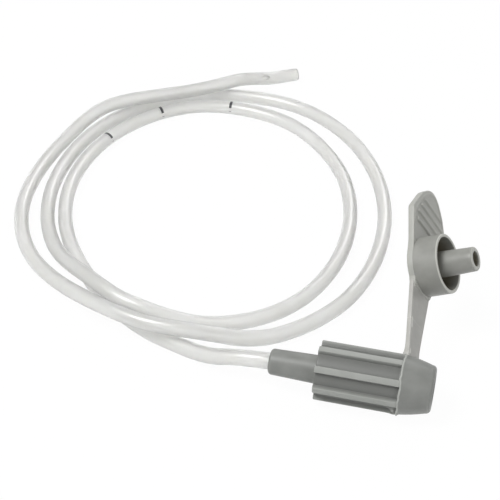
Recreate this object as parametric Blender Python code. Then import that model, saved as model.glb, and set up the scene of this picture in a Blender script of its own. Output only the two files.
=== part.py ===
"""Infant feeding tube: a soft coiled tube in a ribbed funnel connector with a tethered cap.

The connector's axis lies along +X, with its mouth towards +X. The floor is Z = 0.
The cap stands open behind the connector, on the strap that is moulded with both.
"""

from math import acos, asin, cos, pi, radians, sin, sqrt

import bmesh
import bpy
from mathutils import Matrix, Vector

MM = 0.001

# Place of the connector's seam on the floor plan
SEAM_X = 5.914 * MM
AXIS_Y = -15.606 * MM

# Connector, measured from the seam between its ribbed grip and its nose
GRIP_LENGTH = 13.4 * MM
GRIP_RADIUS = 4.75 * MM
GRIP_EDGE = 0.18 * MM
GROOVE_DEPTH = 0.75 * MM
RIB_COUNT = 8
RIB_WIDTH = 1.0 * MM
RIB_FLANK = 0.3 * MM
SLEEVE_LENGTH = 7.3 * MM
SLEEVE_RADIUS = 2.1 * MM
SLEEVE_DRAFT = 0.2 * MM
SLEEVE_ROUND = 0.5 * MM
NOSE_LENGTH = 5.0 * MM
NOSE_TIP_RADIUS = 3.85 * MM
NOSE_ROUND = 0.7 * MM
FLASH_HEIGHT = 0.12 * MM
FLASH_WIDTH = 0.2 * MM
LUMEN_RADIUS = 0.875 * MM

# Tapered socket in the mouth and the plug that fits it
LUER_TAPER = 0.03
PLUG_TIP_RADIUS = 2.0 * MM
PLUG_LENGTH = 10.0 * MM
PLUG_CHAMFER = 0.25 * MM
PLUG_BORE_RADIUS = 1.25 * MM
PLUG_FLOOR = 1.0 * MM
SOCKET_RADIUS = 2.3 * MM
SOCKET_DEPTH = 8.0 * MM
SOCKET_CHAMFER = 0.2 * MM

# Cap: a plate that is the disc, the tab and the strap's landing, with a skirt round the plug
PLATE_THICKNESS = 1.1 * MM
DISC_RADIUS = 5.05 * MM
SKIRT_RADIUS = 4.95 * MM
SKIRT_WALL = 0.55 * MM
SKIRT_DEPTH = 5.2 * MM
RIM_ROUND = 0.15 * MM
TAB_SHOULDER = 2.4 * MM
TAB_SHOULDER_WIDTH = 5.2 * MM
TAB_CORNER = 8.5 * MM
TAB_CORNER_WIDTH = 6.7 * MM
TAB_TIP = 15.3 * MM
TAB_TIP_RADIUS = 4.4 * MM
TAB_CORNER_ROUND = 0.8 * MM
RIDGE_COUNT = 4
RIDGE_PITCH = 1.7 * MM
RIDGE_FIRST = 6.6 * MM
RIDGE_WIDTH = 0.6 * MM
RIDGE_HEIGHT = 0.25 * MM
RIDGE_MARGIN = 1.6 * MM

# Strap between the connector and the cap
STRAP_SPAN = 10.7 * MM
STRAP_THICKNESS = 0.9 * MM
STRAP_ROOT_WIDTH = 3.6 * MM
STRAP_CAP_WIDTH = 6.0 * MM
RUNNING_GAP = 0.3 * MM
ROOT_GAP = 0.55 * MM
ROOT_X = 0.6 * MM
ROOT_ELEVATION = radians(17.0)

# How the strap and the open cap stand: the strap's direction and the plug's, in the seam's frame
STRAP_DIRECTION = Vector((-0.063, 0.954, 0.290))
PLUG_DIRECTION = Vector((0.890, -0.075, 0.444))

# Tube
TUBE_RADIUS = 1.335 * MM
TUBE_GAP = 0.3 * MM
FLOOR_CLEARANCE = 0.02 * MM
TUBE_SPLINE_POINTS = 80

FACETS = 48

# Points along the tube's middle line in millimetres from the seam, out of the sleeve and
# round two and a half turns of a loose coil to the open tip
ROUTE = [
    (-23.8, 0.0, 4.7), (-27.4, 0.3, 4.0), (-31.0, 1.0, 2.7), (-34.5, 2.3, 1.7),
    (-38.2, 3.6, 1.4), (-42.8, 5.1, 1.4), (-47.5, 7.5, 1.4), (-51.8, 10.4, 1.4),
    (-55.8, 13.9, 1.4), (-59.8, 18.2, 1.4), (-64.3, 24.0, 1.4), (-68.2, 31.3, 1.4),
    (-70.7, 39.9, 1.4), (-71.2, 48.5, 1.4), (-69.7, 57.0, 1.4), (-66.5, 64.2, 1.4),
    (-61.7, 70.3, 1.4), (-54.6, 74.8, 1.4), (-46.1, 75.9, 1.4), (-35.4, 73.4, 1.4),
    (-26.6, 66.3, 1.4), (-20.2, 56.9, 1.4), (-16.9, 47.0, 1.4), (-15.9, 37.2, 1.4),
    (-16.9, 28.5, 1.4), (-19.8, 20.6, 1.4), (-24.2, 14.9, 1.4), (-29.7, 11.2, 1.4),
    (-35.5, 9.2, 1.6), (-41.1, 8.2, 2.9), (-45.5, 8.0, 4.2), (-49.7, 8.9, 4.6),
    (-53.5, 10.9, 4.7), (-57.2, 13.3, 4.5), (-61.3, 16.2, 3.9), (-66.1, 21.2, 2.6),
    (-70.9, 29.3, 1.5), (-74.0, 39.2, 1.4), (-74.6, 49.2, 1.4), (-73.3, 58.3, 1.4),
    (-69.9, 66.4, 1.4), (-64.5, 72.8, 1.4), (-56.4, 78.3, 1.4), (-47.4, 80.9, 1.4),
    (-34.1, 79.6, 1.4), (-22.6, 71.9, 1.4), (-14.9, 60.9, 1.4), (-10.9, 49.8, 1.4),
    (-9.6, 40.1, 1.4), (-10.2, 30.2, 1.4), (-12.9, 21.0, 1.4), (-17.7, 13.9, 1.4),
    (-22.9, 9.4, 1.4), (-27.3, 6.8, 2.2), (-31.2, 5.2, 3.6), (-34.9, 4.3, 4.4),
    (-38.7, 3.9, 4.7), (-43.1, 4.0, 4.7), (-47.8, 5.0, 4.6), (-52.6, 6.8, 4.3),
    (-58.2, 9.9, 3.2), (-64.0, 14.0, 1.9), (-69.4, 18.6, 1.4), (-74.0, 24.7, 1.4),
    (-77.3, 32.7, 1.4), (-78.6, 41.1, 1.4), (-78.4, 49.8, 1.4), (-77.2, 56.6, 1.7),
    (-75.1, 61.5, 3.0), (-72.2, 65.3, 4.2), (-68.3, 68.8, 4.4), (-63.1, 72.3, 4.2),
    (-56.0, 76.6, 4.1), (-51.6, 79.3, 4.4), (-48.2, 82.2, 4.4), (-45.4, 85.9, 3.0),
    (-42.8, 88.9, 1.7), (-40.1, 91.0, 1.4), (-37.4, 92.6, 1.4),
]


def clear_scene():
    """Empty the file, whatever it opened with."""
    for item in list(bpy.data.objects):
        bpy.data.objects.remove(item, do_unlink=True)


def plastic(name, colour, roughness):
    """A plain moulded plastic."""
    material = bpy.data.materials.new(name)
    material.use_nodes = True
    shader = material.node_tree.nodes["Principled BSDF"]
    shader.inputs["Base Color"].default_value = (*colour, 1.0)
    shader.inputs["Roughness"].default_value = roughness
    shader.inputs["Metallic"].default_value = 0.0
    return material


def add_mesh(name, vertices, faces, material, cutter=False):
    """Make one object from vertices and faces; a cutter only shapes another object."""
    mesh = bpy.data.meshes.new(name)
    mesh.from_pydata([tuple(point) for point in vertices], [], faces)
    shaped = bmesh.new()
    shaped.from_mesh(mesh)
    bmesh.ops.recalc_face_normals(shaped, faces=shaped.faces)
    shaped.to_mesh(mesh)
    shaped.free()
    item = bpy.data.objects.new(name, mesh)
    bpy.context.scene.collection.objects.link(item)
    item.data.materials.append(material)
    if cutter:
        item.hide_render = True
        item.display_type = "WIRE"
    else:
        mesh.shade_smooth()
        mesh.set_sharp_from_angle(angle=radians(35.0))
    return item


def join_with(item, other):
    """Union another solid into an object."""
    union = item.modifiers.new("join_" + other.name, "BOOLEAN")
    union.operation = "UNION"
    union.solver = "EXACT"
    union.object = other


def turned(profile, angles, closed):
    """Turn (x, radius) points about X; closed joins the last ring to the first."""
    vertices = []
    rings = []
    for x, radius in profile:
        if not callable(radius) and radius == 0.0:
            rings.append([len(vertices)])
            vertices.append(Vector((x, 0.0, 0.0)))
            continue
        rings.append(list(range(len(vertices), len(vertices) + len(angles))))
        for angle in angles:
            reach = radius(angle) if callable(radius) else radius
            vertices.append(Vector((x, reach * cos(angle), reach * sin(angle))))
    pairs = list(zip(rings, rings[1:]))
    if closed:
        pairs.append((rings[-1], rings[0]))
    faces = []
    for first, second in pairs:
        count = max(len(first), len(second))
        for i in range(count):
            j = (i + 1) % count
            if len(first) == 1:
                faces.append((first[0], second[i], second[j]))
            elif len(second) == 1:
                faces.append((first[i], first[j], second[0]))
            else:
                faces.append((first[i], first[j], second[j], second[i]))
    return vertices, faces


def quarter_round(x, radius, rounding, towards, steps=3):
    """Points of a quarter circle that closes an edge, from the side to the end face."""
    centre_x = x - towards * rounding
    points = []
    for step in range(steps + 1):
        angle = 0.5 * pi * step / steps
        points.append((centre_x + towards * rounding * sin(angle), radius - rounding * (1.0 - cos(angle))))
    return points


def grip_angles():
    """Angles round the connector: each rib's flanks and top, and the groove to the next."""
    top = asin(0.5 * RIB_WIDTH / GRIP_RADIUS)
    base = asin((0.5 * RIB_WIDTH + RIB_FLANK) / (GRIP_RADIUS - GROOVE_DEPTH))
    pitch = 2.0 * pi / RIB_COUNT
    angles = []
    for rib in range(RIB_COUNT):
        middle = rib * pitch
        angles += [middle - base, middle - top, middle, middle + top, middle + base]
        for share in (0.25, 0.5, 0.75):
            angles.append(middle + base + share * (pitch - 2.0 * base))
    return angles


def ribbed(inset):
    """Radius as a function of angle: ribs stand above the grooves."""
    pitch = 2.0 * pi / RIB_COUNT
    top = asin(0.5 * RIB_WIDTH / GRIP_RADIUS)

    def radius(angle):
        off = abs((angle + 0.5 * pitch) % pitch - 0.5 * pitch)
        high = off < top * 1.01
        return GRIP_RADIUS - inset - (0.0 if high else GROOVE_DEPTH)

    return radius


def build_connector(material):
    """Turned connector with a ribbed grip, a sleeve for the tube and a tapered socket."""
    grip_back = -GRIP_LENGTH
    sleeve_end = grip_back - SLEEVE_LENGTH
    sleeve = quarter_round(sleeve_end, SLEEVE_RADIUS, SLEEVE_ROUND, -1.0)[::-1]
    nose_edge = NOSE_LENGTH - NOSE_ROUND
    nose = []
    for share in (0.25, 0.5, 0.75):
        drop = (GRIP_RADIUS - NOSE_TIP_RADIUS) * (0.55 * share + 0.45 * share * share)
        nose.append((share * nose_edge, GRIP_RADIUS - drop))
    nose += quarter_round(NOSE_LENGTH, NOSE_TIP_RADIUS, NOSE_ROUND, 1.0)
    socket_end = NOSE_LENGTH - SOCKET_DEPTH
    outer = sleeve + [
        (grip_back, SLEEVE_RADIUS + SLEEVE_DRAFT),
        (grip_back, ribbed(GRIP_EDGE)),
        (grip_back + GRIP_EDGE, ribbed(0.0)),
        (-FLASH_WIDTH, ribbed(0.0)),
        (-FLASH_WIDTH, GRIP_RADIUS),
        (-0.5 * FLASH_WIDTH, GRIP_RADIUS + FLASH_HEIGHT),
        (0.0, GRIP_RADIUS),
    ] + nose
    inner = [
        (NOSE_LENGTH, SOCKET_RADIUS + SOCKET_CHAMFER),
        (NOSE_LENGTH - SOCKET_CHAMFER, SOCKET_RADIUS),
        (socket_end, SOCKET_RADIUS - LUER_TAPER * SOCKET_DEPTH),
        (socket_end, LUMEN_RADIUS),
        (sleeve_end, LUMEN_RADIUS),
    ]
    vertices, faces = turned(outer + inner, grip_angles(), closed=True)
    placed = [point + Vector((SEAM_X, AXIS_Y, axis_height())) for point in vertices]
    return add_mesh("connector_body", placed, faces, material)


def axis_height():
    """The connector lies on its ribs, and its flash line just clears the floor."""
    return GRIP_RADIUS + FLASH_HEIGHT


def plate_outline():
    """Outline of the moulded plate from the strap's landing round the disc to the tab's tip."""
    half_landing = 0.5 * STRAP_CAP_WIDTH
    side = [(-DISC_RADIUS, half_landing)]
    start = pi - asin(half_landing / DISC_RADIUS)
    end = acos(0.15)
    steps = 9
    for step in range(steps + 1):
        angle = start + (end - start) * step / steps
        side.append((DISC_RADIUS * cos(angle), DISC_RADIUS * sin(angle)))
    side.append((TAB_SHOULDER, TAB_SHOULDER_WIDTH))
    side.append((TAB_CORNER - TAB_CORNER_ROUND, TAB_CORNER_WIDTH - 0.25 * TAB_CORNER_ROUND))
    side.append((TAB_CORNER, TAB_CORNER_WIDTH - 0.2 * TAB_CORNER_ROUND))
    side.append((TAB_CORNER + 0.6 * TAB_CORNER_ROUND, TAB_CORNER_WIDTH - 0.7 * TAB_CORNER_ROUND))
    tip_centre = TAB_TIP - TAB_TIP_RADIUS
    steps = 6
    first = radians(55.0)
    for step in range(steps):
        angle = first * (1.0 - step / steps)
        side.append((tip_centre + TAB_TIP_RADIUS * cos(angle), TAB_TIP_RADIUS * sin(angle)))
    tip = [(TAB_TIP, 0.0)]
    return side + tip + [(along, -across) for along, across in reversed(side)]


def cap_frame():
    """Rotation of the open cap: columns are the plug's, the tab's and the width direction."""
    along = STRAP_DIRECTION.normalized()
    plug = (PLUG_DIRECTION - along * PLUG_DIRECTION.dot(along)).normalized()
    across = plug.cross(along)
    return Matrix((plug, along, across)).transposed()


def root_pivot():
    """The strap's root, on the rear of the nose, clear of it by the root's gap."""
    reach = GRIP_RADIUS + ROOT_GAP + 0.5 * STRAP_THICKNESS
    return Vector((
        SEAM_X + ROOT_X,
        AXIS_Y + reach * cos(ROOT_ELEVATION),
        axis_height() + reach * sin(ROOT_ELEVATION),
    ))


def hinge_reach():
    """From the cap's centre to the strap's end pivot."""
    return DISC_RADIUS + RUNNING_GAP + 0.5 * STRAP_THICKNESS


def build_strap(material):
    """Flat tapered strap with rounded ends."""
    half = 0.5 * STRAP_THICKNESS
    outline = []
    steps = 6
    for step in range(steps + 1):
        angle = 0.5 * pi + pi * step / steps
        outline.append((half * sin(angle), half * cos(angle)))
    for step in range(steps + 1):
        angle = 1.5 * pi + pi * step / steps
        outline.append((half * sin(angle), STRAP_SPAN + half * cos(angle)))
    vertices = []
    for sign in (-1.0, 1.0):
        for across_plate, along in outline:
            share = along / STRAP_SPAN
            width = STRAP_ROOT_WIDTH + (STRAP_CAP_WIDTH - STRAP_ROOT_WIDTH) * share
            vertices.append(Vector((across_plate, along, sign * 0.5 * width)))
    count = len(outline)
    faces = [tuple(range(count)), tuple(range(count, 2 * count))]
    for i in range(count):
        j = (i + 1) % count
        faces.append((i, j, count + j, count + i))
    frame = cap_frame()
    placed = [root_pivot() + frame @ point for point in vertices]
    return add_mesh("strap", placed, faces, material)


def build_cap(material):
    """Cap with a skirt, a hollow tapered plug and a lifting tab with grip ridges."""
    frame = cap_frame()
    centre = root_pivot() + STRAP_DIRECTION.normalized() * (STRAP_SPAN + hinge_reach())
    middle = Vector((-0.5 * STRAP_THICKNESS, 0.0, 0.0))

    def placed(points):
        return [centre + frame @ (middle + point) for point in points]

    plug_root = PLUG_TIP_RADIUS + LUER_TAPER * (PLUG_LENGTH - PLATE_THICKNESS)
    skirt_inside = SKIRT_RADIUS - SKIRT_WALL
    profile = [
        (0.5 * PLATE_THICKNESS, 0.0),
        (0.5 * PLATE_THICKNESS, SKIRT_RADIUS),
        (SKIRT_DEPTH - RIM_ROUND, SKIRT_RADIUS),
        (SKIRT_DEPTH, SKIRT_RADIUS - RIM_ROUND),
        (SKIRT_DEPTH, skirt_inside + RIM_ROUND),
        (SKIRT_DEPTH - RIM_ROUND, skirt_inside),
        (PLATE_THICKNESS + SKIRT_WALL, skirt_inside),
        (PLATE_THICKNESS + 0.5 * RIM_ROUND, skirt_inside - SKIRT_WALL),
        (PLATE_THICKNESS + 0.5 * RIM_ROUND, plug_root + RIM_ROUND),
        (PLATE_THICKNESS + 2.0 * RIM_ROUND, plug_root),
        (PLUG_LENGTH - PLUG_CHAMFER, PLUG_TIP_RADIUS),
        (PLUG_LENGTH, PLUG_TIP_RADIUS - PLUG_CHAMFER),
        (PLUG_LENGTH, PLUG_BORE_RADIUS),
        (PLATE_THICKNESS + PLUG_FLOOR, PLUG_BORE_RADIUS - 0.1 * MM),
        (PLATE_THICKNESS + PLUG_FLOOR, 0.0),
    ]
    angles = [2.0 * pi * i / FACETS for i in range(FACETS)]
    vertices, faces = turned(profile, angles, closed=False)
    cap = add_mesh("cap", placed(vertices), faces, material)

    outline = plate_outline()
    count = len(outline)
    plate = [Vector((0.0, along, across)) for along, across in outline]
    plate += [Vector((PLATE_THICKNESS, along, across)) for along, across in outline]
    faces = [tuple(range(count)), tuple(range(count, 2 * count))]
    for i in range(count):
        j = (i + 1) % count
        faces.append((i, j, count + j, count + i))
    join_with(cap, add_mesh("cap_plate", placed(plate), faces, material, cutter=True))

    for number in range(RIDGE_COUNT):
        along = RIDGE_FIRST + number * RIDGE_PITCH
        past_corner = max(0.0, along - TAB_CORNER)
        reach = TAB_CORNER_WIDTH - RIDGE_MARGIN - 0.62 * past_corner
        ridge = ridge_bar(along, reach)
        faces = [(0, 1, 2, 3), (4, 5, 6, 7), (0, 1, 5, 4), (1, 2, 6, 5), (2, 3, 7, 6), (3, 0, 4, 7)]
        cutter = add_mesh("cap_ridge_%d" % (number + 1), placed(ridge), faces, material, cutter=True)
        join_with(cap, cutter)
    return cap


def ridge_bar(along, reach):
    """One grip ridge: a bar with sloping flanks, sunk half into the plate."""
    foot = 0.5 * RIDGE_WIDTH
    crest = 0.3 * RIDGE_WIDTH
    low = 0.5 * PLATE_THICKNESS
    high = PLATE_THICKNESS + RIDGE_HEIGHT
    corners = []
    for height, half in ((low, foot), (high, crest)):
        for side, end in ((-1, -1), (1, -1), (1, 1), (-1, 1)):
            corners.append(Vector((height, along + side * half, end * (reach - (foot - half)))))
    return corners


def above_floor(point):
    """Lift a point of the middle line so that the tube just clears the floor."""
    return Vector((point.x, point.y, max(point.z, TUBE_RADIUS + FLOOR_CLEARANCE)))


def smooth_route(points, count):
    """Evenly spaced points on a centripetal Catmull-Rom curve through the route."""
    ends = [points[0] * 2.0 - points[1]] + points + [points[-1] * 2.0 - points[-2]]
    dense = []
    for i in range(1, len(ends) - 2):
        p0, p1, p2, p3 = ends[i - 1:i + 3]
        t1 = sqrt((p1 - p0).length)
        t2 = t1 + sqrt((p2 - p1).length)
        t3 = t2 + sqrt((p3 - p2).length)
        steps = 12
        for step in range(steps):
            t = t1 + (t2 - t1) * step / steps
            a1 = p0 * ((t1 - t) / t1) + p1 * (t / t1)
            a2 = p1 * ((t2 - t) / (t2 - t1)) + p2 * ((t - t1) / (t2 - t1))
            a3 = p2 * ((t3 - t) / (t3 - t2)) + p3 * ((t - t2) / (t3 - t2))
            b1 = a1 * ((t2 - t) / t2) + a2 * (t / t2)
            b2 = a2 * ((t3 - t) / (t3 - t1)) + a3 * ((t - t1) / (t3 - t1))
            dense.append(above_floor(b1 * ((t2 - t) / (t2 - t1)) + b2 * ((t - t1) / (t2 - t1))))
    dense.append(points[-1])
    lengths = [0.0]
    for first, second in zip(dense, dense[1:]):
        lengths.append(lengths[-1] + (second - first).length)
    even = []
    place = 0
    for i in range(count):
        target = lengths[-1] * i / (count - 1)
        while place < len(lengths) - 2 and lengths[place + 1] < target:
            place += 1
        share = (target - lengths[place]) / (lengths[place + 1] - lengths[place])
        even.append(dense[place].lerp(dense[place + 1], share))
    return even


def build_tube(material):
    """The tube along its route, from just outside the sleeve to its open tip."""
    start = -GRIP_LENGTH - SLEEVE_LENGTH - TUBE_GAP
    points = [Vector((start, 0.0, axis_height()))]
    points += [Vector(point) * MM for point in ROUTE]
    places = [point + Vector((SEAM_X, AXIS_Y, 0.0)) for point in smooth_route(points, TUBE_SPLINE_POINTS)]
    curve = bpy.data.curves.new("tube", "CURVE")
    curve.dimensions = "3D"
    curve.bevel_depth = TUBE_RADIUS
    curve.bevel_resolution = 2
    curve.use_fill_caps = True
    curve.resolution_u = 1
    curve.render_resolution_u = 0
    spline = curve.splines.new("POLY")
    spline.points.add(len(places) - 1)
    for point, place in zip(spline.points, places):
        point.co = (*place, 1.0)
    item = bpy.data.objects.new("tube", curve)
    bpy.context.scene.collection.objects.link(item)
    curve.materials.append(material)
    return item


def main():
    clear_scene()
    build_connector(plastic("connector_grey", (0.21, 0.23, 0.22), 0.5))
    build_strap(plastic("strap_grey", (0.36, 0.37, 0.35), 0.5))
    build_cap(plastic("cap_grey", (0.28, 0.30, 0.28), 0.5))
    build_tube(plastic("tube_clear", (0.84, 0.84, 0.80), 0.3))


main()
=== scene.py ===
"""Looks of an infant feeding tube: grey moulded connector, tethered cap and frosted coiled tube."""

import bpy
import numpy as np
from bpy.props import FloatProperty, FloatVectorProperty, IntProperty, PointerProperty
from mathutils import Matrix, Vector


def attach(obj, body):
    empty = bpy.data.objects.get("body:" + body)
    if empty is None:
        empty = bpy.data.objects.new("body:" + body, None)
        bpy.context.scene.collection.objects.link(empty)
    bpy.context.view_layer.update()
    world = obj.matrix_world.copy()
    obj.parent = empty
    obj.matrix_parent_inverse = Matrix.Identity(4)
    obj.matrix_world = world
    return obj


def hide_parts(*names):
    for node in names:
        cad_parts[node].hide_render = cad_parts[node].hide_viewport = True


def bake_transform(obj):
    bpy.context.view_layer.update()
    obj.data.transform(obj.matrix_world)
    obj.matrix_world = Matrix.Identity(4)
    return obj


bl_info = {
    "name": "Feeding Tube Finish",
    "version": (1, 0, 0),
    "blender": (4, 5, 0),
    "location": "View3D > Sidebar > Feeding Tube",
    "description": "Builds the finished surfaces of a coiled feeding tube with its connector and cap",
    "category": "Object",
}

MM = 0.001
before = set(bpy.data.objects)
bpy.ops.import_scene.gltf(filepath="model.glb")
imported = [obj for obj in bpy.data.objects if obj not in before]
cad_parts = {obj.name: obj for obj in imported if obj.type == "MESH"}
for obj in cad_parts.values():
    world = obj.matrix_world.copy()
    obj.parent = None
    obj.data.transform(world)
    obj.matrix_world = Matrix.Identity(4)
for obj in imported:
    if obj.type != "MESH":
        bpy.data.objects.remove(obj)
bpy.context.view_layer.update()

# Place of the connector's seam, and how the strap and the open cap stand, as in the CAD model
SEAM = np.array([5.914, -15.606, 4.87]) * MM
STRAP_DIRECTION = np.array([-0.063, 0.954, 0.290])
PLUG_DIRECTION = np.array([0.890, -0.075, 0.444])
STRAP_SPAN = 10.7 * MM
STRAP_THICKNESS = 0.9 * MM
ROOT_PIVOT = np.array([6.514, -10.107, 6.551]) * MM
CAP_REACH = 5.8 * MM

# The connector's corners, socket and flash line
CONNECTOR_SIDES = 720
SLEEVE_RADIUS = 2.1 * MM
SLEEVE_SPREAD = 0.2 * MM
SLEEVE_ROUND = 0.55 * MM
LIP_RADIUS = 1.40 * MM
LUMEN_RADIUS = 0.9 * MM
CORNER = 0.2 * MM
RIB_FLANK = 0.26 * MM
NOSE_STEP = 0.03 * MM
NOSE_TAPER = 0.9 * MM
NOSE_ROUND = 0.75 * MM
MOUTH_RADIUS = 2.3 * MM
MOUTH_ROUND = 0.22 * MM
SOCKET_LENGTH = 7.6 * MM
SOCKET_TAPER = 0.22 * MM
FLASH_HEIGHT = 0.09 * MM
FLASH_WANDER = 0.14 * MM
SCAR_PLACE = -0.65 * MM
SCAR_ANGLE = 3.68

# The cap's wall, its tapered plug and the grip ridges on its tab, in millimetres
CAP_SIDES = 192
SKIRT_WALL = 0.55
PLUG_TAPER = 0.03
BORE_RADIUS = 1.25
BORE_DRAFT = 0.012
PLATE_SIDES = 420
PLATE_MIDDLE = 4.5
PLATE_ROUND = 0.22
DISC_RADIUS = 5.05
RIDGE_FIRST = 6.6
RIDGE_PITCH = 1.7
RIDGE_HEIGHT = 0.26
BORDER_HEIGHT = 0.12
# Warm dark colour of the painted shade inside the cap's skirt and in its bore
CAP_PAINTED_SHADE = (0.150, 0.132, 0.090)

# The strap's section: width at the root, how much it widens to the cap, and how square it is
STRAP_WIDTH = 3.5 * MM
STRAP_SPREAD = 2.5 * MM
STRAP_FLARE = 0.45 * MM
STRAP_SQUARENESS = 0.28

# The tube's depth ticks, side eyes (distance from the tip, side) and rounded tip
TICK_SHARES = (0.155, 0.180, 0.207)
TICK_LENGTH = 0.55 * MM
EYES = ((8.5 * MM, 1.0), (15.0 * MM, -1.0))
TIP_LIP = 0.12 * MM
TUBE_LOWEST = 1.355 * MM

# The stage: floor, surround, and each lamp's place from the look-at point, size and power
FLOOR_HALF = 3.0
FLOOR_WHITE = 0.86
FLOOR_GLOW = 0.97
SURROUND_STRENGTH = 0.46
LAMPS = (
    ("key_lamp", (-0.22, -0.16, 0.50), 0.22, 2.5),
    ("fill_lamp", (0.40, -0.35, 0.30), 0.30, 0.45),
    ("back_lamp", (0.05, 0.55, 0.40), 0.22, 0.8),
)

# Camera: where it looks on the floor, from how far, and the photograph's angle
LOOK_AT = np.array([-26.81, 16.71, 0.0]) * MM
CAMERA_DISTANCE = 229.0 * MM
CAMERA_AZIMUTH = 14.3
CAMERA_ELEVATION = 39.0
CAMERA_LENS = 90.0

# The tube's middle line, as in the CAD model: across the floor from the seam, and height above it
ROUTE = np.array([
    (-21.0, 0.0, 4.87),
    (-23.8, 0.0, 4.7), (-27.4, 0.3, 4.0), (-31.0, 1.0, 2.7), (-34.5, 2.3, 1.7),
    (-38.2, 3.6, 1.4), (-42.8, 5.1, 1.4), (-47.5, 7.5, 1.4), (-51.8, 10.4, 1.4),
    (-55.8, 13.9, 1.4), (-59.8, 18.2, 1.4), (-64.3, 24.0, 1.4), (-68.2, 31.3, 1.4),
    (-70.7, 39.9, 1.4), (-71.2, 48.5, 1.4), (-69.7, 57.0, 1.4), (-66.5, 64.2, 1.4),
    (-61.7, 70.3, 1.4), (-54.6, 74.8, 1.4), (-46.1, 75.9, 1.4), (-35.4, 73.4, 1.4),
    (-26.6, 66.3, 1.4), (-20.2, 56.9, 1.4), (-16.9, 47.0, 1.4), (-15.9, 37.2, 1.4),
    (-16.9, 28.5, 1.4), (-19.8, 20.6, 1.4), (-24.2, 14.9, 1.4), (-29.7, 11.2, 1.4),
    (-35.5, 9.2, 1.6), (-41.1, 8.2, 2.9), (-45.5, 8.0, 4.2), (-49.7, 8.9, 4.6),
    (-53.5, 10.9, 4.7), (-57.2, 13.3, 4.5), (-61.3, 16.2, 3.9), (-66.1, 21.2, 2.6),
    (-70.9, 29.3, 1.5), (-74.0, 39.2, 1.4), (-74.6, 49.2, 1.4), (-73.3, 58.3, 1.4),
    (-69.9, 66.4, 1.4), (-64.5, 72.8, 1.4), (-56.4, 78.3, 1.4), (-47.4, 80.9, 1.4),
    (-34.1, 79.6, 1.4), (-22.6, 71.9, 1.4), (-14.9, 60.9, 1.4), (-10.9, 49.8, 1.4),
    (-9.6, 40.1, 1.4), (-10.2, 30.2, 1.4), (-12.9, 21.0, 1.4), (-17.7, 13.9, 1.4),
    (-22.9, 9.4, 1.4), (-27.3, 6.8, 2.2), (-31.2, 5.2, 3.6), (-34.9, 4.3, 4.4),
    (-38.7, 3.9, 4.7), (-43.1, 4.0, 4.7), (-47.8, 5.0, 4.6), (-52.6, 6.8, 4.3),
    (-58.2, 9.9, 3.2), (-64.0, 14.0, 1.9), (-69.4, 18.6, 1.4), (-74.0, 24.7, 1.4),
    (-77.3, 32.7, 1.4), (-78.6, 41.1, 1.4), (-78.4, 49.8, 1.4), (-77.2, 56.6, 1.7),
    (-75.1, 61.5, 3.0), (-72.2, 65.3, 4.2), (-68.3, 68.8, 4.4), (-63.1, 72.3, 4.2),
    (-56.0, 76.6, 4.1), (-51.6, 79.3, 4.4), (-48.2, 82.2, 4.4), (-45.4, 85.9, 3.0),
    (-42.8, 88.9, 1.7), (-40.1, 91.0, 1.4), (-37.4, 92.6, 1.4),
]) * MM


class ConnectorSizes(bpy.types.PropertyGroup):
    """Sizes of the connector's visible surface."""

    grip_length: FloatProperty(name="Grip length", description="Ribbed grip, seam to back face",
                               default=13.4 * MM, unit="LENGTH")
    grip_radius: FloatProperty(name="Grip radius", description="To the top of the ribs",
                               default=4.75 * MM, unit="LENGTH")
    groove_depth: FloatProperty(name="Groove depth", description="Rib top to groove floor",
                                default=0.75 * MM, unit="LENGTH")
    rib_width: FloatProperty(name="Rib width", description="Width of a rib's flat top",
                             default=0.95 * MM, unit="LENGTH")
    rib_count: IntProperty(name="Ribs", description="Ribs round the grip", default=8)
    sleeve_length: FloatProperty(name="Sleeve length", description="Sleeve and its lip over the tube",
                                 default=7.8 * MM, unit="LENGTH")
    nose_length: FloatProperty(name="Nose length", description="Seam to mouth face",
                               default=5.0 * MM, unit="LENGTH")


class CapSizes(bpy.types.PropertyGroup):
    """Sizes of the cap's visible surface."""

    skirt_radius: FloatProperty(name="Skirt radius", description="Outside of the skirt",
                                default=4.98 * MM, unit="LENGTH")
    skirt_depth: FloatProperty(name="Skirt depth", description="Back face to rim",
                               default=5.2 * MM, unit="LENGTH")
    plug_length: FloatProperty(name="Plug length", description="Back face to plug tip",
                               default=10.0 * MM, unit="LENGTH")
    plug_radius: FloatProperty(name="Plug tip radius", description="Outside of the plug at its tip",
                               default=2.0 * MM, unit="LENGTH")
    plate: FloatProperty(name="Plate thickness", description="Disc and tab",
                         default=1.1 * MM, unit="LENGTH")


class TubeSizes(bpy.types.PropertyGroup):
    """Sizes of the tube's visible surface."""

    radius: FloatProperty(name="Radius", description="Outside of the tube",
                          default=1.335 * MM, unit="LENGTH")
    lumen: FloatProperty(name="Lumen radius", description="Inside of the tube",
                         default=0.875 * MM, unit="LENGTH")
    rings: IntProperty(name="Rings", description="Rings along the tube", default=1100)
    sides: IntProperty(name="Sides", description="Points round each ring", default=28)


class FinishColours(bpy.types.PropertyGroup):
    """Colours of the mouldings and the tube."""

    connector: FloatVectorProperty(name="Connector", description="Grey of the connector",
                                   subtype="COLOR", default=(0.200, 0.206, 0.194))
    cap: FloatVectorProperty(name="Cap", description="Grey of the cap",
                             subtype="COLOR", default=(0.255, 0.257, 0.238))
    strap: FloatVectorProperty(name="Strap", description="Paler grey of the thin strap",
                               subtype="COLOR", default=(0.395, 0.392, 0.370))
    tube: FloatVectorProperty(name="Tube", description="Frosted tube",
                              subtype="COLOR", default=(0.985, 0.985, 0.955))


def new_mesh(name, points, faces, smooth=True):
    """Put an array of points and a list of faces into a mesh object."""
    mesh = bpy.data.meshes.new(name)
    mesh.from_pydata(points.tolist(), [], faces)
    mesh.validate()
    if smooth:
        mesh.shade_smooth()
    item = bpy.data.objects.new(name, mesh)
    bpy.context.scene.collection.objects.link(item)
    return item


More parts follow.
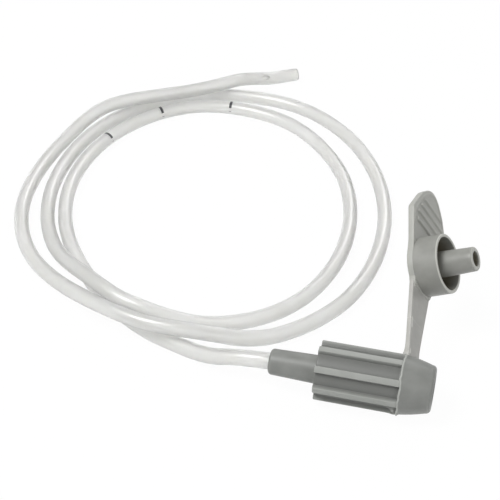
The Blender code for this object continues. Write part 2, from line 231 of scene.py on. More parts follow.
def grid_faces(rows, columns, wrap_rows=False):
    """Quads between neighbouring rows of a grid whose rows are closed rings, numbered row by row."""
    row = np.arange(rows if wrap_rows else rows - 1)
    column = np.arange(columns)
    r, c = np.meshgrid(row, column, indexing="ij")
    r2 = (r + 1) % rows
    c2 = (c + 1) % columns
    quads = np.stack([r * columns + c, r * columns + c2, r2 * columns + c2, r2 * columns + c], axis=-1)
    return quads.reshape(-1, 4).tolist()


def closed_shell(rings, poles):
    """Points and outward faces of rows of rings, closed by a fan to a pole at either end."""
    rows, sides = rings.shape[:2]
    points = np.concatenate([rings.reshape(-1, 3), poles])
    quads = grid_faces(rows, sides)
    first = rows * sides
    last = (rows - 1) * sides
    fans = [[first, (i + 1) % sides, i] for i in range(sides)]
    fans += [[first + 1, last + i, last + (i + 1) % sides] for i in range(sides)]
    a, b, c, d = points[np.array(quads)].transpose(1, 0, 2)
    e, f, g = points[np.array(fans)].transpose(1, 0, 2)
    volume = np.sum(a * np.cross(b, c)) + np.sum(a * np.cross(c, d)) + np.sum(e * np.cross(f, g))
    faces = quads + fans
    return points, [face[::-1] for face in faces] if volume < 0.0 else faces


def round_off(x, radius, size, side=1.0):
    """Points of a profile's rounded corner, from a wall onto a face."""
    turn = np.linspace(0.0, 0.5 * np.pi, 7)
    return [(x - side * size * (1.0 - np.sin(a)), radius - size * (1.0 - np.cos(a))) for a in turn]


def round_in(x, radius, size, side=1.0):
    """Points of a profile's rounded corner, from a face onto a narrower wall."""
    turn = np.linspace(0.0, 0.5 * np.pi, 7)
    return [(x - side * size * (1.0 - np.cos(a)), radius + size * (1.0 - np.sin(a))) for a in turn]


def face_outwards(item):
    """Turn a closed mesh's faces outwards, by the sign of its signed volume."""
    mesh = item.data
    mesh.calc_loop_triangles()
    corners = np.empty(len(mesh.loop_triangles) * 3, dtype=np.int32)
    mesh.loop_triangles.foreach_get("vertices", corners)
    points = np.empty(len(mesh.vertices) * 3)
    mesh.vertices.foreach_get("co", points)
    a, b, c = points.reshape(-1, 3)[corners.reshape(-1, 3)].transpose(1, 0, 2)
    volume = np.einsum("ij,ij->i", a, np.cross(b, c)).sum()
    if volume < 0.0:
        mesh.flip_normals()


def set_tone(item, name, values):
    """Give each point of a mesh a value from 0 to 1 that its material mixes a colour by."""
    layer = item.data.attributes.new(name=name, type="FLOAT", domain="POINT")
    layer.data.foreach_set("value", np.clip(values, 0.0, 1.0).ravel())


def waves(angle, seed, orders=(3, 5, 9, 14, 23, 31)):
    """A sum of sines of whole orders round a circle: an uneven line that closes on itself."""
    rng = np.random.default_rng(seed)
    total = np.zeros_like(angle)
    for order in orders:
        total = total + np.sin(order * angle + rng.uniform(0.0, 2.0 * np.pi)) / np.sqrt(order)
    return total / 1.6


def smoothstep(x):
    """Cubic ease from 0 to 1."""
    t = np.clip(x, 0.0, 1.0)
    return t * t * (3.0 - 2.0 * t)


def moulded_grey(name, colour, painted_shade=None, roughness=0.42):
    """Soft grey moulding: faint cloudy mottle, fine satin grain, and paler sharp convex edges.

    Two mesh values mix in a lighter and a darker tone: the lighter is painted highlight on raised lines,
    rims and lit faces, and a paler flash line and gate scar; the darker is painted shade in recesses.
    """
    # The darker tone is painted shade; by default two thirds of the grey
    painted_shade = painted_shade or [0.66 * part for part in colour]
    material = bpy.data.materials.new(name)
    material.use_nodes = True
    nodes = material.node_tree.nodes
    links = material.node_tree.links
    shader = nodes["Principled BSDF"]
    place = nodes.new("ShaderNodeTexCoord")
    mottle = nodes.new("ShaderNodeTexNoise")
    mottle.inputs["Scale"].default_value = 420.0
    mottle.inputs["Detail"].default_value = 4.0
    links.new(place.outputs["Object"], mottle.inputs["Vector"])
    ramp = nodes.new("ShaderNodeValToRGB")
    ramp.color_ramp.elements[0].position = 0.3
    ramp.color_ramp.elements[0].color = (*[0.90 * part for part in colour], 1.0)
    ramp.color_ramp.elements[1].position = 0.72
    ramp.color_ramp.elements[1].color = (*[1.09 * part for part in colour], 1.0)
    links.new(mottle.outputs["Fac"], ramp.inputs["Fac"])
    # Paler on sharply convex edges, from the mesh's pointiness
    surface = nodes.new("ShaderNodeNewGeometry")
    convex_pale = nodes.new("ShaderNodeMapRange")
    convex_pale.inputs["From Min"].default_value = 0.51
    convex_pale.inputs["From Max"].default_value = 0.60
    convex_pale.inputs["To Max"].default_value = 0.55
    links.new(surface.outputs["Pointiness"], convex_pale.inputs["Value"])
    # The lighter tone: painted highlight, and the paler flash line, gate scar and convex edges
    highlight_and_pale_marks = nodes.new("ShaderNodeMix")
    highlight_and_pale_marks.data_type = "RGBA"
    highlight_and_pale_marks.inputs[7].default_value = (*[min(1.0, 1.9 * part) for part in colour], 1.0)
    raised = nodes.new("ShaderNodeAttribute")
    raised.attribute_name = "highlight_and_pale_marks"
    lighter = nodes.new("ShaderNodeMath")
    lighter.operation = "MAXIMUM"
    links.new(convex_pale.outputs["Result"], lighter.inputs[0])
    links.new(raised.outputs["Fac"], lighter.inputs[1])
    links.new(lighter.outputs[0], highlight_and_pale_marks.inputs[0])
    links.new(ramp.outputs["Color"], highlight_and_pale_marks.inputs[6])
    # Painted shade: a darker tone mixed in by the mesh value set in recesses
    recess = nodes.new("ShaderNodeAttribute")
    recess.attribute_name = "painted_shade"
    dark = nodes.new("ShaderNodeMix")
    dark.data_type = "RGBA"
    dark.inputs[7].default_value = (*painted_shade, 1.0)
    links.new(recess.outputs["Fac"], dark.inputs[0])
    links.new(highlight_and_pale_marks.outputs[2], dark.inputs[6])
    links.new(dark.outputs[2], shader.inputs["Base Color"])
    fine = nodes.new("ShaderNodeTexNoise")
    fine.inputs["Scale"].default_value = 5200.0
    fine.inputs["Detail"].default_value = 2.0
    links.new(place.outputs["Object"], fine.inputs["Vector"])
    bump = nodes.new("ShaderNodeBump")
    bump.inputs["Strength"].default_value = 0.16
    bump.inputs["Distance"].default_value = 0.00004
    links.new(fine.outputs["Fac"], bump.inputs["Height"])
    links.new(bump.outputs["Normal"], shader.inputs["Normal"])
    rough = nodes.new("ShaderNodeMapRange")
    rough.inputs["To Min"].default_value = roughness - 0.07
    rough.inputs["To Max"].default_value = roughness + 0.10
    links.new(mottle.outputs["Fac"], rough.inputs["Value"])
    links.new(rough.outputs["Result"], shader.inputs["Roughness"])
    shader.inputs["IOR"].default_value = 1.5
    shader.inputs["Subsurface Weight"].default_value = 0.08
    shader.inputs["Subsurface Radius"].default_value = (0.8, 0.8, 0.7)
    shader.inputs["Subsurface Scale"].default_value = 0.0008
    return material


def frosted_tube(name, colour, length, marks, mark_length):
    """Frosted soft tube: milky, part clear wall with a satin gloss and short printed depth ticks.

    The ticks are dark where the UV map's first value, the share of the length, is near a mark
    and its second value, the share of a turn, is on the upper side.
    """
    material = bpy.data.materials.new(name)
    material.use_nodes = True
    nodes = material.node_tree.nodes
    links = material.node_tree.links
    shader = nodes["Principled BSDF"]
    place = nodes.new("ShaderNodeTexCoord")
    cloud = nodes.new("ShaderNodeTexNoise")
    cloud.inputs["Scale"].default_value = 260.0
    cloud.inputs["Detail"].default_value = 3.0
    links.new(place.outputs["Object"], cloud.inputs["Vector"])
    ramp = nodes.new("ShaderNodeValToRGB")
    ramp.color_ramp.elements[0].position = 0.25
    ramp.color_ramp.elements[0].color = (*[0.95 * part for part in colour], 1.0)
    ramp.color_ramp.elements[1].position = 0.75
    ramp.color_ramp.elements[1].color = (*[min(1.0, 1.04 * part) for part in colour], 1.0)
    links.new(cloud.outputs["Fac"], ramp.inputs["Fac"])
    split = nodes.new("ShaderNodeSeparateXYZ")
    uv = nodes.new("ShaderNodeUVMap")
    uv.uv_map = "along"
    links.new(uv.outputs["UV"], split.inputs["Vector"])
    ink = None
    for mark in marks:
        near = nodes.new("ShaderNodeMath")
        near.operation = "COMPARE"
        near.inputs[1].default_value = mark / length
        near.inputs[2].default_value = 0.5 * mark_length / length
        links.new(split.outputs["X"], near.inputs[0])
        if ink is None:
            ink = near
            continue
        both = nodes.new("ShaderNodeMath")
        both.operation = "MAXIMUM"
        links.new(ink.outputs[0], both.inputs[0])
        links.new(near.outputs[0], both.inputs[1])
        ink = both
    side = nodes.new("ShaderNodeMath")
    side.operation = "COMPARE"
    side.inputs[1].default_value = 0.25
    side.inputs[2].default_value = 0.17
    links.new(split.outputs["Y"], side.inputs[0])
    tick = nodes.new("ShaderNodeMath")
    tick.operation = "MULTIPLY"
    links.new(ink.outputs[0], tick.inputs[0])
    links.new(side.outputs[0], tick.inputs[1])
    printed = nodes.new("ShaderNodeMix")
    printed.data_type = "RGBA"
    printed.inputs[7].default_value = (0.045, 0.045, 0.05, 1.0)
    links.new(tick.outputs[0], printed.inputs[0])
    links.new(ramp.outputs["Color"], printed.inputs[6])
    links.new(printed.outputs[2], shader.inputs["Base Color"])
    fine = nodes.new("ShaderNodeTexNoise")
    fine.inputs["Scale"].default_value = 3000.0
    links.new(place.outputs["Object"], fine.inputs["Vector"])
    bump = nodes.new("ShaderNodeBump")
    bump.inputs["Strength"].default_value = 0.10
    bump.inputs["Distance"].default_value = 0.00003
    links.new(fine.outputs["Fac"], bump.inputs["Height"])
    links.new(bump.outputs["Normal"], shader.inputs["Normal"])
    shader.inputs["Roughness"].default_value = 0.30
    shader.inputs["IOR"].default_value = 1.36
    shader.inputs["Transmission Weight"].default_value = 0.75
    shader.inputs["Subsurface Weight"].default_value = 0.35
    shader.inputs["Subsurface Radius"].default_value = (1.0, 1.0, 0.95)
    shader.inputs["Subsurface Scale"].default_value = 0.0012
    shader.inputs["Coat Weight"].default_value = 0.35
    shader.inputs["Coat Roughness"].default_value = 0.12
    return material


class FEED_OT_connector(bpy.types.Operator):
    """Build the connector: a turned profile whose radius carries ribs, a flash line and a gate scar"""

    bl_idname = "feed.connector"
    bl_label = "Connector"

    def execute(self, context):
        sizes = context.scene.feed_connector
        angle = np.linspace(0.0, 2.0 * np.pi, CONNECTOR_SIDES, endpoint=False)
        pitch = 2.0 * np.pi / sizes.rib_count
        off = np.abs((angle + 0.5 * pitch) % pitch - 0.5 * pitch) * sizes.grip_radius
        rib = 1.0 - smoothstep((off - 0.5 * sizes.rib_width) / RIB_FLANK)
        jag = waves(angle, 4, (7, 11, 17, 29, 41, 53))
        place, base, ribs, uneven, shift = self.profile(sizes).T[:, :, None]
        off_floor = 1.0 - smoothstep((-np.sin(angle) - 0.6) / 0.3)
        scar = np.exp(-((place - SCAR_PLACE) / (0.55 * MM)) ** 2 - ((angle - SCAR_ANGLE) / 0.17) ** 2)
        scar = np.where(base > 3.3 * MM, scar, 0.0)
        lumps = 0.75 + 0.25 * np.sin(angle * 96.0) * np.cos(place / MM * 6.0)
        x = place + shift * FLASH_WANDER * waves(angle, 9)
        radius = base + ribs * rib + uneven * FLASH_HEIGHT * jag * off_floor
        radius = radius + scar * lumps * (0.85 - 0.5 * rib) * MM
        points = np.stack([x, radius * np.cos(angle), radius * np.sin(angle)], axis=-1)
        points = points.reshape(-1, 3) + SEAM
        item = new_mesh("connector_shell", points, grid_faces(len(place), CONNECTOR_SIDES, wrap_rows=True))
        face_outwards(item)
        # Painted highlight on the rib tops and painted shade in the grooves between them; the flash line and
        # the gate scar are made paler, and no shade is painted at the scar
        ribbed = ribs / sizes.groove_depth
        set_tone(item, "highlight_and_pale_marks", 0.5 * ribbed * rib + uneven * (1.0 + 0.3 * jag) + 1.6 * scar)
        set_tone(item, "painted_shade", 0.85 * ribbed * (1.0 - rib) * (1.0 - scar))
        item.data.materials.append(moulded_grey("connector_moulding", context.scene.feed_colours.connector))
        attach(item, "connector")
        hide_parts("connector_body")
        return {"FINISHED"}

    def profile(self, sizes):
        """Rows from the sleeve's end to the mouth, and back inside through the socket and the lumen.

        A row is its place along the axis, its radius, the height of its ribs, and its shares of the
        flash's ragged height and of the flash's wander along the axis.
        """
        rise = sizes.groove_depth
        grip = sizes.grip_radius
        core = grip - rise
        back = -sizes.grip_length
        end = back - sizes.sleeve_length
        mouth = sizes.nose_length
        rows = []

        def row(x, radius, ribs=0.0, uneven=0.0, shift=0.0):
            rows.append((x, radius, ribs, uneven, shift))

        turn = np.linspace(0.0, 0.5 * np.pi, 8)
        for a in turn[::-1]:
            row(end + SLEEVE_ROUND * (1.0 - np.sin(a)), SLEEVE_RADIUS - SLEEVE_ROUND * (1.0 - np.cos(a)))
        straight = sizes.sleeve_length - SLEEVE_ROUND - CORNER
        for share in np.linspace(0.08, 0.92, 12):
            row(end + SLEEVE_ROUND + straight * share, SLEEVE_RADIUS + SLEEVE_SPREAD * share)
        foot = SLEEVE_RADIUS + SLEEVE_SPREAD
        for a in turn:
            row(back - CORNER * (1.0 - np.sin(a)), foot + CORNER * (1.0 - np.cos(a)))
        for share in (0.3, 0.6, 0.85):
            row(back, foot + CORNER + (core - 2.75 * MM) * share, rise * share)
        for a in turn:
            row(back + CORNER * (1.0 - np.cos(a)), core - CORNER * (1.0 - np.sin(a)), rise)
        for share in np.linspace(0.06, 0.94, 24):
            row(back + sizes.grip_length * share, core, rise)
        row(-0.45 * MM, core, rise)
        row(-0.30 * MM, core, rise, 0.0, 0.5)
        row(-0.20 * MM, core + 0.05 * MM, rise, 0.0, 0.9)
        row(-0.16 * MM, grip - 0.05 * MM, 0.0, 0.3, 1.0)
        row(-0.12 * MM, grip + 0.04 * MM, 0.0, 0.8, 1.0)
        row(-0.03 * MM, grip + 0.05 * MM, 0.0, 1.0, 1.0)
        row(0.07 * MM, grip + 0.01 * MM, 0.0, 0.8, 1.0)
        row(0.18 * MM, grip - NOSE_STEP, 0.0, 0.0, 0.8)
        edge = mouth - NOSE_ROUND
        for share in np.linspace(0.08, 1.0, 22):
            drop = NOSE_TAPER * (0.55 * share + 0.45 * share * share)
            row(share * edge, grip - NOSE_STEP - drop)
        for a in turn[1:]:
            row(edge + NOSE_ROUND * np.sin(a), grip - NOSE_STEP - NOSE_TAPER - 0.70 * MM * (1.0 - np.cos(a)))
        row(mouth, 2.85 * MM)
        for a in turn:
            row(mouth - MOUTH_ROUND * (1.0 - np.cos(a)), MOUTH_RADIUS + MOUTH_ROUND * (1.0 - np.sin(a)))
        for share in np.linspace(0.1, 1.0, 10):
            row(mouth - MOUTH_ROUND - share * SOCKET_LENGTH, MOUTH_RADIUS - SOCKET_TAPER * share)
        row(mouth - 8.0 * MM, 1.9 * MM)
        row(mouth - 8.1 * MM, LUMEN_RADIUS)
        row(end + 1.0 * MM, LUMEN_RADIUS)
        row(end + 0.25 * MM, LIP_RADIUS - 0.03 * MM)
        row(end, LIP_RADIUS)
        return np.array(rows)


def cap_axes():
    """Rotation of the open cap: columns are the plug's, the tab's and the width direction."""
    along = STRAP_DIRECTION / np.linalg.norm(STRAP_DIRECTION)
    plug = PLUG_DIRECTION - along * (PLUG_DIRECTION @ along)
    plug = plug / np.linalg.norm(plug)
    return np.stack([plug, along, np.cross(plug, along)], axis=1)


def place_cap(points):
    """Move points from the cap's own frame, with its back face at 0, to their place."""
    axes = cap_axes()
    centre = ROOT_PIVOT + axes[:, 1] * (STRAP_SPAN + CAP_REACH)
    shifted = points + np.array([-0.5 * STRAP_THICKNESS, 0.0, 0.0])
    return centre + shifted @ axes.T


def tab_outline(turn):
    """Distance to the plate's edge by direction from a point in its middle.

    A ray from the middle meets a polygon of the disc's and the tab's corners, and the corners
    are eased by averaging the distance over a small span of directions.
    """
    disc = np.radians(np.array([143.0, 130.0, 115.0, 100.0, 86.0]))
    corners = [(-DISC_RADIUS, 0.0), (-DISC_RADIUS, 3.0)]
    corners += [(DISC_RADIUS * np.cos(a), DISC_RADIUS * np.sin(a)) for a in disc]
    corners += [(2.4, 5.2), (8.3, 6.65), (12.7, 4.1), (14.4, 2.3), (15.1, 1.1), (15.3, 0.0)]
    corners = np.array(corners) * MM - np.array([PLATE_MIDDLE * MM, 0.0])
    direction = np.arctan2(corners[:, 1], corners[:, 0])
    order = np.argsort(direction)
    corners = corners[order]
    direction = direction[order]
    wanted = np.abs((turn + np.pi) % (2.0 * np.pi) - np.pi)
    spread = np.linspace(-0.045, 0.045, 9)
    total = np.zeros_like(turn)
    for step in spread:
        look = np.abs(wanted + step)
        look = np.where(look > np.pi, 2.0 * np.pi - look, look)
        k = np.clip(np.searchsorted(direction, look) - 1, 0, len(corners) - 2)
        a = corners[k]
        b = corners[k + 1]
        ray = np.stack([np.cos(look), np.sin(look)], axis=-1)
        side = b - a
        across = ray[:, 0] * side[:, 1] - ray[:, 1] * side[:, 0]
        total = total + (a[:, 0] * side[:, 1] - a[:, 1] * side[:, 0]) / across
    return total / len(spread)


class FEED_OT_cap(bpy.types.Operator):
    """Build the cap: a plate with grip ridges on its tab, and a turned skirt and hollow plug"""

    bl_idname = "feed.cap"
    bl_label = "Cap"

    def execute(self, context):
        sizes = context.scene.feed_cap
        shell, faces = self.turned_shell(sizes)
        plate, plate_faces = self.moulded_plate(sizes)
        points = np.concatenate([shell, plate])
        faces = faces + [[i + len(shell) for i in face] for face in plate_faces]
        item = new_mesh("cap_shell", place_cap(points), faces)
        highlight_and_pale_marks, painted_shade = self.tones(sizes, points, len(shell))
        set_tone(item, "highlight_and_pale_marks", highlight_and_pale_marks)
        set_tone(item, "painted_shade", painted_shade)
        item.data.materials.append(moulded_grey("cap_moulding", context.scene.feed_colours.cap, CAP_PAINTED_SHADE))
        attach(item, "cap")
        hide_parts("cap")
        return {"FINISHED"}

    def tones(self, sizes, points, shell_count):
        """Painted highlight: paler plate, skirt rim and plug tip; painted shade: warm dark inside the skirt
        and in the plug's bore.
        """
        x = points[:, 0]
        r = np.hypot(points[:, 1], points[:, 2])
        shell = np.arange(len(points)) < shell_count
        inner = sizes.skirt_radius - 0.50 * MM
        rim = (x > sizes.skirt_depth - 0.12 * MM) & (r > inner - 0.15 * MM)
        nose = (x > sizes.plug_length - 0.14 * MM) & (r > 1.3 * MM)
        # Painted highlight on the skirt's rim, the plug's tip and the whole plate
        highlight_and_pale_marks = np.where(shell, np.where(rim, 1.0, np.where(nose, 0.75, 0.0)), 0.5)
        # Painted shade in the plug's bore, and inside the skirt, darker further from the rim
        bore = (r < 1.3 * MM) & (x < sizes.plug_length - 0.14 * MM)
        below = smoothstep((sizes.skirt_depth - x) / (2.6 * MM)) * (r < inner)
        painted_shade = np.where(shell, np.maximum(0.85 * below, 0.8 * bore), 0.0)
        return highlight_and_pale_marks, painted_shade

    def turned_shell(self, sizes):
        """Skirt and plug as one profile turned about the plug's axis, closed at both poles."""
        angle = np.linspace(0.0, 2.0 * np.pi, CAP_SIDES, endpoint=False)
        skirt = sizes.skirt_radius / MM
        depth = sizes.skirt_depth / MM
        tip = sizes.plug_length / MM
        plug = sizes.plug_radius / MM
        floor = sizes.plate / MM
        inner = skirt - SKIRT_WALL
        root = plug + PLUG_TAPER * (tip - floor)
        profile = [(0.45, skirt - 0.35), (0.5, skirt - 0.05)]
        profile += [(x, skirt) for x in np.linspace(0.6, depth - 0.3, 10)]
        profile += round_off(depth, skirt, 0.22)
        profile += round_in(depth, inner, 0.15)
        profile += [(x, inner - 0.02 * (depth - x)) for x in np.linspace(depth - 0.5, floor + 0.5, 8)]
        profile += round_off(floor, inner - 0.08, 0.45, -1.0)
        profile += round_in(floor, root, 0.35, -1.0)
        profile += [(x, plug + PLUG_TAPER * (tip - x)) for x in np.linspace(floor + 0.6, tip - 0.32, 14)]
        profile += round_off(tip, plug, 0.28)
        profile += round_in(tip, BORE_RADIUS, 0.12)
        profile += [(x, BORE_RADIUS - BORE_DRAFT * (tip - x)) for x in np.linspace(tip - 0.4, 2.3, 8)]
        profile += [(2.1, 0.9)]
        rows = np.array(profile) * MM
        x, radius = rows[:, 0:1], rows[:, 1:2]
        rings = np.stack([
            np.repeat(x, CAP_SIDES, axis=1), radius * np.cos(angle), radius * np.sin(angle),
        ], axis=-1)
        return closed_shell(rings, np.array([[rows[0, 0], 0.0, 0.0], [rows[-1, 0], 0.0, 0.0]]))

    def moulded_plate(self, sizes):
        """A plate on a polar grid about its middle: shares of the outline, with rounded edges.

        The front carries straight grip ridges inside a low border, as a height over the grid.
        """
        turn = np.linspace(0.0, 2.0 * np.pi, PLATE_SIDES, endpoint=False)
        reach = tab_outline(turn)
        share = np.concatenate([np.linspace(0.01, 0.95, 90), [0.97]])
        flat = share[:, None] * reach
        bend = np.linspace(0.0, 0.5 * np.pi, 6)
        lift = PLATE_ROUND * MM * (1.0 - np.cos(bend))
        edge = reach - PLATE_ROUND * MM * (1.0 - np.sin(bend))[:, None]
        radius = np.concatenate([flat, edge, edge[::-1], flat[::-1]])
        back = np.zeros(len(share))
        height = np.concatenate([back, lift, sizes.plate - lift[::-1], back + sizes.plate])[:, None]
        front = (np.arange(len(radius)) >= len(radius) - len(share))[:, None]
        along = PLATE_MIDDLE + radius * np.cos(turn) / MM
        inset = (reach - radius) / MM
        line = np.abs((along - RIDGE_FIRST + 0.5 * RIDGE_PITCH) % RIDGE_PITCH - 0.5 * RIDGE_PITCH)
        bar = (1.0 - smoothstep((line - 0.2) / 0.2)) * smoothstep((inset - 1.25) / 0.3)
        bar = bar * ((along > 6.1) & (along < 12.6))
        border = np.exp(-((inset - 0.75) / 0.22) ** 2) * smoothstep((along - 5.4) / 0.5)
        height = height + front * (RIDGE_HEIGHT * bar + BORDER_HEIGHT * border) * MM
        rings = np.stack([height, along * MM, radius * np.sin(turn)], axis=-1)
        middle = PLATE_MIDDLE * MM
        return closed_shell(rings, np.array([[0.0, middle, 0.0], [sizes.plate, middle, 0.0]]))


class FEED_OT_strap(bpy.types.Operator):
    """Build the strap: a rounded flat section carried from the connector's side to the cap"""

    bl_idname = "feed.strap"
    bl_label = "Strap"

    def execute(self, context):
        material = moulded_grey("strap_moulding", context.scene.feed_colours.strap, roughness=0.46)
        middle = 0.5 * STRAP_SPAN
        root = self.stretch("strap_root", -1.5 * MM, middle, material)
        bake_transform(root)
        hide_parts("strap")
        end = self.stretch("strap_end", middle, STRAP_SPAN + 2.4 * MM, material)
        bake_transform(end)
        return {"FINISHED"}

    def stretch(self, name, start, finish, material):
        """Sections between two distances along the strap: a superellipse that widens to the cap."""
        sides = 72
        count = 60
        angle = np.linspace(0.0, 2.0 * np.pi, sides, endpoint=False)
        s = np.linspace(start, finish, count)[:, None]
        width = 0.5 * (STRAP_WIDTH + STRAP_SPREAD * np.clip(s / STRAP_SPAN, -0.1, 1.1))
        flare = STRAP_FLARE * np.exp(-np.clip(s / MM + 0.9, 0.0, None) / 0.8)
        thick = 0.5 * STRAP_THICKNESS + 0.35 * flare
        across = np.sign(np.cos(angle)) * np.abs(np.cos(angle)) ** STRAP_SQUARENESS
        upwards = np.sign(np.sin(angle)) * np.abs(np.sin(angle)) ** STRAP_SQUARENESS
        local = np.stack([
            thick * upwards, np.repeat(s, sides, axis=1), (width + flare) * across,
        ], axis=-1)
        points = ROOT_PIVOT + local.reshape(-1, 3) @ cap_axes().T
        faces = grid_faces(count, sides)
        faces.append(list(range(sides))[::-1])
        faces.append(list(range((count - 1) * sides, count * sides)))
        item = new_mesh(name, points, faces)
        for face in item.data.polygons[-2:]:
            face.use_smooth = False
        face_outwards(item)
        item.data.materials.append(material)
        return item


def smooth_route(points, count):
    """Evenly spaced points on a centripetal Catmull-Rom curve through the route."""
    ends = np.concatenate([[2.0 * points[0] - points[1]], points, [2.0 * points[-1] - points[-2]]])
    p0, p1, p2, p3 = ends[:-3], ends[1:-2], ends[2:-1], ends[3:]
    t1 = np.sqrt(np.linalg.norm(p1 - p0, axis=1))[:, None, None]
    t2 = t1 + np.sqrt(np.linalg.norm(p2 - p1, axis=1))[:, None, None]
    t3 = t2 + np.sqrt(np.linalg.norm(p3 - p2, axis=1))[:, None, None]
    p0, p1, p2, p3 = p0[:, None], p1[:, None], p2[:, None], p3[:, None]
    t = t1 + (t2 - t1) * np.linspace(0.0, 1.0, 24, endpoint=False)[None, :, None]
    a1 = p0 * (t1 - t) / t1 + p1 * t / t1
    a2 = p1 * (t2 - t) / (t2 - t1) + p2 * (t - t1) / (t2 - t1)
    a3 = p2 * (t3 - t) / (t3 - t2) + p3 * (t - t2) / (t3 - t2)
    b1 = a1 * (t2 - t) / t2 + a2 * t / t2
    b2 = a2 * (t3 - t) / (t3 - t1) + a3 * (t - t1) / (t3 - t1)
    dense = (b1 * (t2 - t) / (t2 - t1) + b2 * (t - t1) / (t2 - t1)).reshape(-1, 3)
    dense = np.concatenate([dense, points[-1:]])
    for _ in range(30):
        dense[1:-1] = 0.25 * dense[:-2] + 0.5 * dense[1:-1] + 0.25 * dense[2:]
    dense[:, 2] = np.maximum(dense[:, 2], TUBE_LOWEST)
    steps = np.concatenate([[0.0], np.cumsum(np.linalg.norm(np.diff(dense, axis=0), axis=1))])
    even = np.linspace(0.0, steps[-1], count)
    return np.stack([np.interp(even, steps, dense[:, k]) for k in range(3)], axis=1), steps[-1]


class FEED_OT_tube(bpy.types.Operator):
    """Build the tube: rings round the route, outside and inside the wall, with side eyes at the tip"""

    bl_idname = "feed.tube"
    bl_label = "Tube"

    def execute(self, context):
        sizes = context.scene.feed_tube
        place = np.array([SEAM[0], SEAM[1], 0.0])
        middle, length = smooth_route(ROUTE + place, sizes.rings)
        item = self.walled_tube(sizes, middle)
        self.cut_eyes(item, middle, length, sizes)
        marks = [length * share for share in TICK_SHARES]
        item.data.materials.clear()
        item.data.materials.append(
            frosted_tube("tube_frosted", context.scene.feed_colours.tube, length, marks, TICK_LENGTH))
        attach(item, "connector")
        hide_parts("tube")
        return {"FINISHED"}

    def walled_tube(self, sizes, middle):
        """Circles square to the route; up is used as the sideways reference, so none twist."""
        ahead = np.gradient(middle, axis=0)
        ahead = ahead / np.linalg.norm(ahead, axis=1)[:, None]
        side = np.cross(ahead, np.array([0.0, 0.0, 1.0]))
        side = side / np.linalg.norm(side, axis=1)[:, None]
        above = np.cross(side, ahead)
        sides = sizes.sides
        angle = np.linspace(0.0, 2.0 * np.pi, sides, endpoint=False)
        ring = np.cos(angle)[:, None] * side[:, None, :] + np.sin(angle)[:, None] * above[:, None, :]
        outside = np.full(len(middle), sizes.radius)
        outside[-1] = sizes.radius - TIP_LIP
        outer = middle[:, None, :] + outside[:, None, None] * ring
        inner = middle[:, None, :] + sizes.lumen * ring
        points = np.concatenate([outer, inner[::-1]]).reshape(-1, 3)
        rows = 2 * len(middle)
        item = new_mesh("tube_wall", points, grid_faces(rows, sides, wrap_rows=True))
        face_outwards(item)
        row = np.concatenate([np.arange(len(middle)), np.arange(len(middle))[::-1]])
        share = np.repeat(row / (len(middle) - 1), sides)
        around = np.tile(angle / (2.0 * np.pi), rows)
        layer = item.data.uv_layers.new(name="along")
        corner = np.empty(len(item.data.loops), dtype=np.int32)
        item.data.loops.foreach_get("vertex_index", corner)
        layer.data.foreach_set("uv", np.stack([share[corner], around[corner]], axis=1).ravel())
        return item

    def cut_eyes(self, item, middle, length, sizes):
        """Two oval side eyes near the tip, one on each side, cut through one wall."""
        step = length / (len(middle) - 1)
        for number, (back, sign) in enumerate(EYES):
            place = len(middle) - 1 - int(back / step)
            ahead = Vector(middle[place + 1] - middle[place - 1]).normalized()
            side = ahead.cross(Vector((0.0, 0.0, 1.0))).normalized()
            outwards = (side * sign + Vector((0.0, 0.0, 0.75))).normalized()
            across = ahead.cross(outwards).normalized()
            bpy.ops.mesh.primitive_uv_sphere_add(segments=32, ring_count=16, radius=1.0)
            cutter = bpy.context.view_layer.objects.active
            shape = Matrix((ahead * 1.1 * MM, across * 0.5 * MM, outwards * 0.7 * MM)).transposed()
            centre = Vector(middle[place]) + outwards * sizes.radius
            cutter.matrix_world = Matrix.Translation(centre) @ shape.to_4x4()
            hole = item.modifiers.new("eye_%d" % number, "BOOLEAN")
            hole.operation = "DIFFERENCE"
            hole.object = cutter
            bpy.context.view_layer.objects.active = item
            bpy.ops.object.modifier_apply(modifier=hole.name)
            bpy.data.objects.remove(cutter, do_unlink=True)


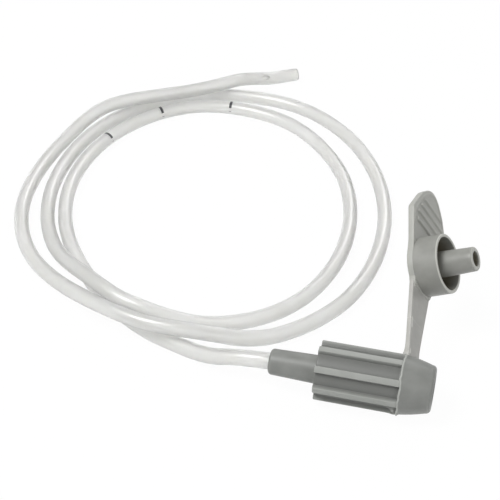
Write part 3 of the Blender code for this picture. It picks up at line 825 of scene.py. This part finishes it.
class FEED_OT_stage(bpy.types.Operator):
    """Set the white floor, the soft lamps and the camera"""

    bl_idname = "feed.stage"
    bl_label = "Stage"

    def execute(self, context):
        scene = context.scene
        scene.view_settings.view_transform = "Standard"
        self.floor()
        self.world(scene)
        for name, place, size, power in LAMPS:
            self.lamp(name, place, size, power)
        self.camera(scene)
        return {"FINISHED"}

    def floor(self):
        """A wide white floor that shows as white to the camera and keeps a faint shadow."""
        points = np.array([[-1, -1, 0], [1, -1, 0], [1, 1, 0], [-1, 1, 0]]) * FLOOR_HALF
        item = new_mesh("stage_floor", points, [[0, 1, 2, 3]], smooth=False)
        material = bpy.data.materials.new("stage_white")
        material.use_nodes = True
        nodes = material.node_tree.nodes
        links = material.node_tree.links
        shader = nodes["Principled BSDF"]
        shader.inputs["Base Color"].default_value = (FLOOR_WHITE, FLOOR_WHITE, FLOOR_WHITE, 1.0)
        shader.inputs["Roughness"].default_value = 0.9
        shader.inputs["Specular IOR Level"].default_value = 0.0
        glow = nodes.new("ShaderNodeEmission")
        glow.inputs["Strength"].default_value = 1.0
        path = nodes.new("ShaderNodeLightPath")
        rays = nodes.new("ShaderNodeMath")
        rays.operation = "MAXIMUM"
        links.new(path.outputs["Is Camera Ray"], rays.inputs[0])
        links.new(path.outputs["Is Transmission Ray"], rays.inputs[1])
        more = nodes.new("ShaderNodeMath")
        more.operation = "MAXIMUM"
        links.new(rays.outputs[0], more.inputs[0])
        links.new(path.outputs["Is Glossy Ray"], more.inputs[1])
        part = nodes.new("ShaderNodeMath")
        part.operation = "MULTIPLY"
        part.inputs[1].default_value = FLOOR_GLOW
        links.new(more.outputs[0], part.inputs[0])
        blend = nodes.new("ShaderNodeMixShader")
        links.new(part.outputs[0], blend.inputs[0])
        links.new(shader.outputs[0], blend.inputs[1])
        links.new(glow.outputs[0], blend.inputs[2])
        links.new(blend.outputs[0], nodes["Material Output"].inputs["Surface"])
        item.data.materials.append(material)

    def world(self, scene):
        """A plain white surround."""
        world = bpy.data.worlds.new("surround")
        world.use_nodes = True
        back = world.node_tree.nodes["Background"]
        back.inputs["Color"].default_value = (1.0, 1.0, 1.0, 1.0)
        back.inputs["Strength"].default_value = SURROUND_STRENGTH
        scene.world = world

    def lamp(self, name, place, size, power):
        """A square soft lamp that faces the coil."""
        data = bpy.data.lights.new(name, "AREA")
        data.size = size
        data.energy = power
        item = bpy.data.objects.new(name, data)
        item.location = Vector(place) + Vector(LOOK_AT)
        item.rotation_euler = (Vector(LOOK_AT) - item.location).to_track_quat("-Z", "Y").to_euler()
        bpy.context.scene.collection.objects.link(item)

    def camera(self, scene):
        """A long lens from the front and above, turned to the photograph's angle."""
        azimuth = np.radians(CAMERA_AZIMUTH)
        elevation = np.radians(CAMERA_ELEVATION)
        back = np.array([
            np.sin(azimuth) * np.cos(elevation),
            -np.cos(azimuth) * np.cos(elevation),
            np.sin(elevation),
        ])
        data = bpy.data.cameras.new("camera")
        data.lens = CAMERA_LENS
        data.sensor_width = 36.0
        data.clip_start = 0.01
        item = bpy.data.objects.new("camera", data)
        item.location = Vector(LOOK_AT + back * CAMERA_DISTANCE)
        item.rotation_euler = Vector(-back).to_track_quat("-Z", "Y").to_euler()
        scene.collection.objects.link(item)
        scene.camera = item


class FEED_PT_panel(bpy.types.Panel):
    """Lists the pieces of the feeding tube"""

    bl_idname = "FEED_PT_panel"
    bl_label = "Feeding Tube"
    bl_space_type = "VIEW_3D"
    bl_region_type = "UI"
    bl_category = "Feeding Tube"

    def draw(self, context):
        for step in STEPS:
            self.layout.operator(step.bl_idname)


STEPS = (FEED_OT_stage, FEED_OT_tube, FEED_OT_connector, FEED_OT_strap, FEED_OT_cap)
GROUPS = {
    "feed_connector": ConnectorSizes,
    "feed_cap": CapSizes,
    "feed_tube": TubeSizes,
    "feed_colours": FinishColours,
}


def register():
    for name, group in GROUPS.items():
        bpy.utils.register_class(group)
        setattr(bpy.types.Scene, name, PointerProperty(type=group))
    for step in STEPS:
        bpy.utils.register_class(step)
    bpy.utils.register_class(FEED_PT_panel)


def unregister():
    bpy.utils.unregister_class(FEED_PT_panel)
    for step in reversed(STEPS):
        bpy.utils.unregister_class(step)
    for name, group in reversed(list(GROUPS.items())):
        delattr(bpy.types.Scene, name)
        bpy.utils.unregister_class(group)


def main():
    register()
    bpy.ops.feed.stage()
    bpy.ops.feed.tube()
    bpy.ops.feed.connector()
    bpy.ops.feed.strap()
    bpy.ops.feed.cap()


if __name__ == "__main__":
    main()
